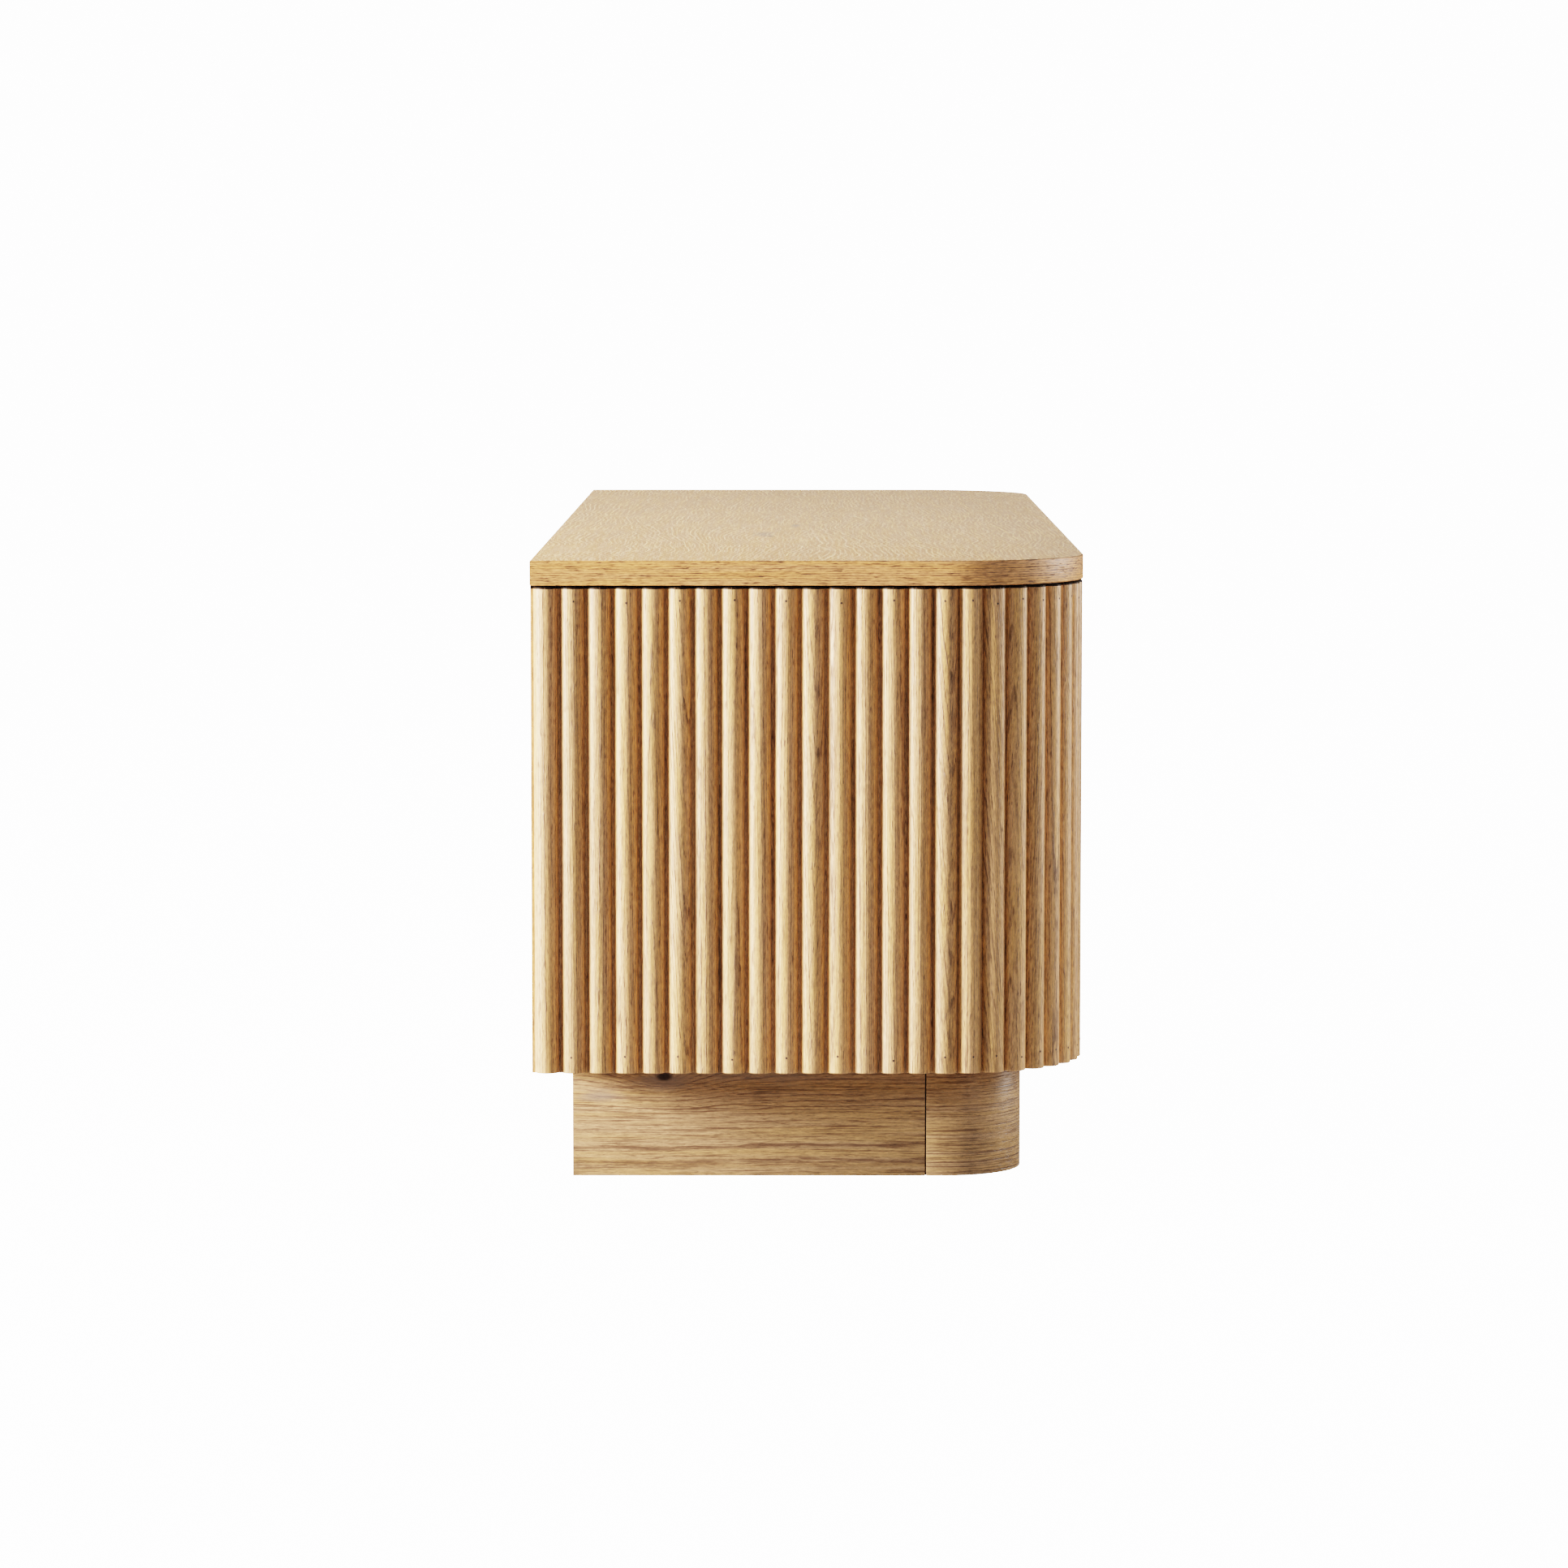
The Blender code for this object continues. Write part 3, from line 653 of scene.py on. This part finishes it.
def eased(node, body, material, grain, width=BOARD_EASE, trim=None):
    """A copy of a board with eased edges and a grain direction. Grain and trim are functions of a point."""
    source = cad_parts[node]
    bm = bmesh.new()
    bm.from_mesh(source.data)
    bmesh.ops.remove_doubles(bm, verts=bm.verts, dist=WELD)
    bmesh.ops.dissolve_limit(bm, angle_limit=math.radians(1), verts=bm.verts, edges=bm.edges)
    if trim:
        for vertex in bm.verts:
            vertex.co = trim(vertex.co)
    sharp = [e for e in bm.edges if e.is_manifold and e.calc_face_angle(0) > math.radians(30)]
    bmesh.ops.bevel(
        bm, geom=sharp, offset=width, segments=2, profile=0.5, affect="EDGES", clamp_overlap=True
    )
    layer = bm.loops.layers.float_vector.new("grain")
    for face in bm.faces:
        for loop in face.loops:
            loop[layer] = grain(loop.vert.co)
    mesh = bpy.data.meshes.new(node + "_eased")
    bm.to_mesh(mesh)
    bm.free()
    mesh.materials.append(material)
    mesh.shade_smooth()
    mesh.set_sharp_from_angle(angle=math.radians(50))
    obj = bpy.data.objects.new(node + "_eased", mesh)
    bpy.context.scene.collection.objects.link(obj)
    return install(obj, body, [node])


def board_grain(axis, rng):
    """Grain for a flat board that lies along X, Y or Z, cut from a random place in a log."""
    place = (rng.uniform(0.02, 0.08), rng.uniform(0.02, 0.06), rng.uniform(0, 30))
    order = {"x": (1, 2, 0), "y": (2, 0, 1), "z": (0, 1, 2)}[axis]

    def grain(point):
        return tuple(point[i] + shift for i, shift in zip(order, place))

    return grain


def make_boards(rng):
    boards = [("bottom_panel", "x"), ("back_panel", "x")]
    boards += [(f"shelf_{word}", "x") for word in ("left", "center", "right")]
    for word in ("left", "right"):
        boards += [(f"end_panel_{word}", "z"), (f"partition_{word}", "z"), (f"corner_panel_{word}", "z")]
    for node, axis in boards:
        eased(node, "carcass", BOARD_OAK, board_grain(axis, rng))
    for word in ("left", "center", "right"):
        eased(f"door_panel_{word}", f"door_{word}", BOARD_OAK, board_grain("z", rng))


PLINTH_CORNER_R = 0.064


def plinth_run(point):
    """How far a point is along the plinth, round its left corner: back to front, then along the front."""
    low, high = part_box("plinth_corner_left")
    center = (low.x + PLINTH_CORNER_R, low.y + PLINTH_CORNER_R)
    x = min(point[0], -point[0])
    if point[1] > center[1]:
        return high.y - point[1]
    if x > center[0]:
        return high.y - center[1] + PLINTH_CORNER_R * math.pi / 2 + x - center[0]
    return high.y - center[1] + PLINTH_CORNER_R * math.atan2(center[1] - point[1], center[0] - x)


SEAM = 0.0007


def open_seams(node):
    """Draws a plinth corner's two joints back a little, so that each shows as a fine dark line."""
    low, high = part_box(node)
    inner = min(abs(low.x), abs(high.x))

    def trim(point):
        point = point.copy()
        if high.y - point.y < SEAM / 2:
            point.y -= SEAM
        if abs(point.x) - inner < SEAM / 2:
            point.x += math.copysign(SEAM, point.x)
        return point

    return trim


TONGUE_BACK = 0.0012
TONGUE_DEEP = 0.016
TONGUE_LAP = 0.002
TONGUE_SHORT = 0.001


def add_tongues(obj, word):
    """Dark tongues in a plinth corner's two joints, set back from the face, so that no light comes in. Their
    near-black colour is painted shade inside the joint.
    """
    low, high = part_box(f"plinth_corner_{word}")
    side = math.copysign(1, low.x)
    outer, inner = max(abs(low.x), abs(high.x)), min(abs(low.x), abs(high.x))
    end_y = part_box(f"plinth_end_{word}")[0].y
    front_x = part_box("plinth_front")[1].x
    spans = [((outer - TONGUE_DEEP, outer - TONGUE_BACK), (high.y - TONGUE_LAP, end_y))]
    spans += [((front_x, inner + TONGUE_LAP), (low.y + TONGUE_BACK, low.y + TONGUE_DEEP))]
    bm = bmesh.new()
    bm.from_mesh(obj.data)
    for (near, far), (front, back) in spans:
        center = Vector((side * (near + far) / 2, (front + back) / 2, (low.z + high.z) / 2))
        size = (far - near, back - front, high.z - low.z - TONGUE_SHORT, 1.0)
        place = Matrix.Translation(center) @ Matrix.Diagonal(size)
        made = bmesh.ops.create_cube(bm, size=1.0, matrix=place)
        for face in {face for vertex in made["verts"] for face in vertex.link_faces}:
            face.material_index = 1
    bm.to_mesh(obj.data)
    bm.free()
    obj.data.materials.append(SHADOW_OAK)


END_PITH = 0.030
END_LEAN = 0.1
FRONT_PITH = (0.02, 0.034)
CORNER_START = 7


def make_plinth(rng):
    across, deep = FRONT_PITH

    def end_grain(point):
        return (point[2], END_PITH + abs(point[0]) * END_LEAN, point[1])

    def corner_grain(point):
        return (point[2] + across, deep, plinth_run(point) + CORNER_START + shift)

    def straight_grain(point):
        return (point[2] + across, deep, point[along] + shift)

    for word in ("left", "right"):
        shift = rng.uniform(0, 20)
        eased(f"plinth_end_{word}", "carcass", PLINTH_OAK, end_grain, PLINTH_EASE)
        node = f"plinth_corner_{word}"
        corner = eased(
            node, "carcass", BOARD_PLINTH_OAK, corner_grain, CORNER_EASE, open_seams(node)
        )
        add_tongues(corner, word)
    for node, along in (("plinth_front", 0), ("plinth_back", 0), ("plinth_rail_center", 1)):
        shift = rng.uniform(0, 20)
        eased(node, "carcass", BOARD_PLINTH_OAK, straight_grain, PLINTH_EASE)


# Fittings


def set_material(node, material):
    """Gives a CAD object a better material, in the slots that it has."""
    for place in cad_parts[node].material_slots:
        place.link = "OBJECT"
        place.material = material


def finish_fittings():
    for word in ("left", "center", "right"):
        for index in (1, 2):
            set_material(f"hinge_{word}_{index}_fixed_leaf", BRASS)
            set_material(f"hinge_{word}_{index}_door_leaf", BRASS)
        set_material(f"magnetic_catch_{word}", BLACK)
        set_material(f"strike_plate_{word}", STEEL)
        set_material(f"cable_grommet_{word}", BLACK)
    for word in ("left", "right"):
        for place in ("end", "partition"):
            for index in (1, 2):
                set_material(f"shelf_pin_{word}_{place}_{index}", STEEL)


# Stage: floor, lights and camera


STAGE_WHITE = 8.0
FLOOR_HALF = 40
FLOOR_DROP = 0.0005
FLOOR_GRAYS = (rgb(0.44, 0.44, 0.44), rgb(0.48, 0.48, 0.48))


def make_stage():
    """A white studio floor. It looks as white as the backdrop, but lights the object as a pale floor does."""
    mesh = bpy.data.meshes.new("floor")
    corners = [(x * FLOOR_HALF, y * FLOOR_HALF, 0) for x, y in ((-1, -1), (1, -1), (1, 1), (-1, 1))]
    mesh.from_pydata(corners, [], [(0, 1, 2, 3)])
    floor = bpy.data.objects.new("floor", mesh)
    floor.location.z = FLOOR_Z - FLOOR_DROP
    bpy.context.scene.collection.objects.link(floor)
    g = Graph("floor")
    place = g.node("ShaderNodeTexCoord").outputs["Object"]
    cloud = g.noise(g.stretch(place, (3, 3, 3)), detail=3.0)
    g.put(g.mix(cloud, *FLOOR_GRAYS), g.shader.inputs["Base Color"])
    g.shader.inputs["Roughness"].default_value = 0.9
    g.shader.inputs["Emission Color"].default_value = rgb(1.0, 1.0, 1.0)
    seen = g.node("ShaderNodeLightPath").outputs["Is Camera Ray"]
    g.put(g.math("MULTIPLY", seen, STAGE_WHITE), g.shader.inputs["Emission Strength"])
    mesh.materials.append(g.material)


def add_light(name, azimuth, elevation, distance, size, power, target, color=(1.0, 1.0, 1.0)):
    """A soft box that aims at its target. Azimuth 0 is where the camera stands, and it grows towards +Y."""
    data = bpy.data.lights.new(name, "AREA")
    data.shape = "RECTANGLE"
    data.size, data.size_y = size
    data.energy = power
    data.color = color
    light = bpy.data.objects.new(name, data)
    turn, rise = math.radians(azimuth), math.radians(elevation)
    aim = Vector((-math.cos(turn) * math.cos(rise), math.sin(turn) * math.cos(rise), math.sin(rise)))
    light.location = Vector(target) + distance * aim
    light.rotation_euler = (-aim).to_track_quat("-Z", "Y").to_euler()
    light.visible_camera = False
    bpy.context.scene.collection.objects.link(light)


AMBIENT = 0.02


def light_scene():
    world = bpy.data.worlds.new("studio")
    bpy.context.scene.world = world
    world.use_nodes = True
    tree = world.node_tree
    back = tree.nodes["Background"]
    back.inputs["Color"].default_value = rgb(1.0, 1.0, 1.0)
    back.inputs["Strength"].default_value = AMBIENT
    seen = tree.nodes.new("ShaderNodeBackground")
    seen.inputs["Color"].default_value = rgb(1.0, 1.0, 1.0)
    seen.inputs["Strength"].default_value = STAGE_WHITE
    rays = tree.nodes.new("ShaderNodeLightPath")
    mix = tree.nodes.new("ShaderNodeMixShader")
    tree.links.new(rays.outputs["Is Camera Ray"], mix.inputs[0])
    tree.links.new(back.outputs[0], mix.inputs[1])
    tree.links.new(seen.outputs[0], mix.inputs[2])
    tree.links.new(mix.outputs[0], tree.nodes["World Output"].inputs["Surface"])
    end_face = (-LENGTH / 2, 0.0, 0.28)
    add_light("key", 74, 13, 4.5, (1.2, 1.05), 790, end_face)
    add_light("rim", -108, 13, 3.0, (0.8, 1.2), 78, end_face)
    add_light("fill", -45, 15, 3.0, (0.8, 1.2), 9, end_face, (0.92, 1.0, 1.15))
    add_light("sheen", 180, 20, 4.5, (2.5, 1.5), 44, (-0.3, 0.0, 0.5), (1.0, 0.81, 0.61))
    view = bpy.context.scene.view_settings
    view.view_transform = "Filmic"
    view.look = "High Contrast"


CAMERA_X = -5.253
CAMERA_Y = 0.0064
CAMERA_HEIGHT = 0.7511
CAMERA_PITCH = math.radians(5.306)
CAMERA_YAW = math.radians(0.179)
LENS_MM = 130.4
SENSOR_MM = 36.0


def add_camera():
    data = bpy.data.cameras.new("camera")
    data.sensor_width = SENSOR_MM
    data.lens = LENS_MM
    data.clip_end = 200
    camera = bpy.data.objects.new("camera", data)
    camera.location = (CAMERA_X, CAMERA_Y, FLOOR_Z + CAMERA_HEIGHT)
    level = math.cos(CAMERA_PITCH)
    aim = Vector((level * math.cos(CAMERA_YAW), level * math.sin(CAMERA_YAW), -math.sin(CAMERA_PITCH)))
    camera.rotation_euler = aim.to_track_quat("-Z", "Y").to_euler()
    bpy.context.scene.collection.objects.link(camera)
    bpy.context.scene.camera = camera


# Every material, laid out as changes to the plain recipe

REED_OAK = make_oak("reed_oak")
TOP_OAK = make_oak(
    "top_oak",
    knots=((0.033, -0.30, 0.0035, 2.0),),
    smudges=((0.040, -0.26, 0.010, 6.0), (0.012, -0.10, 0.005, 8.0)),
    light=rgb(0.55, 0.270, 0.098),
    dark=rgb(1.0, 0.70, 0.37),
    pore=rgb(0.30, 0.16, 0.07),
    spacing=0.0043,
    band=(0.50, 0.72, 0.80, 1.0),
    wobble=0.4,
    warp=0.11,
    warp_size=(4.0, 4.0, 3.4),
    leaf=0.155,
    ring=1.0,
    pores=0.30,
    streak=0.50,
    streak_size=(500.0, 500.0, 18.0),
    fibre=0.30,
    roughness=0.50,
    specular=0.40,
    bump=1.0,
)
EDGE_OAK = make_oak(
    "edge_oak",
    light=rgb(0.66, 0.312, 0.113),
    dark=rgb(0.27, 0.120, 0.044),
    pore=rgb(0.10, 0.045, 0.018),
    spacing=0.0019,
    warp=0.006,
    ring=1.0,
    pores=1.0,
    streak=0.9,
    streak_size=(900.0, 900.0, 70.0),
    fibre=1.0,
    roughness=0.52,
    specular=0.45,
)
BOARD_OAK = make_oak("board_oak", spacing=0.0040, warp=0.03, ring=0.6, pores=0.5)
PLINTH = {
    "light": rgb(0.405, 0.235, 0.110),
    "dark": rgb(0.15, 0.076, 0.034),
    "spacing": 0.0026,
    "band": (0.60, 0.86, 0.92, 1.0),
    "wobble": 0.7,
    "ring": 1.0,
    "streak": 0.9,
    "fibre": 0.8,
}
PLINTH_OAK = make_oak(
    "plinth_end_oak",
    knots=((0.082, 0.119, 0.0042, 1.8),),
    smudges=((0.066, 0.172, 0.007, 3.5), (0.078, 0.119, 0.010, 2.6), (0.088, 0.060, 0.016, 8.0)),
    warp=0.012,
    **PLINTH,
)
BOARD_PLINTH_OAK = make_oak("plinth_oak", warp=0.008, **PLINTH)
NAIL = make_nail()
# Near-black painted shade, for the gap under the top on the body's reeding and for the plinth's joints.
SHADOW_OAK = make_oak(
    "shadow_oak", light=rgb(0.020, 0.012, 0.007), dark=rgb(0.012, 0.007, 0.004), specular=0.1
)
BRASS = make_metal("satin_brass", rgb(0.72, 0.53, 0.25), 0.36, (300, 300, 2500))
STEEL = make_metal("zinc_steel", rgb(0.60, 0.60, 0.62), 0.36, (2500, 300, 300))
BLACK = make_plastic("black_plastic", rgb(0.02, 0.02, 0.022), 0.5)

add_camera()
slat_random = random.Random(SEED)
reed_the_body(slat_random)
reed_the_front(slat_random)
make_top()
make_boards(random.Random(SEED + 1))
make_plinth(random.Random(SEED + 2))
finish_fittings()
make_stage()
light_scene()
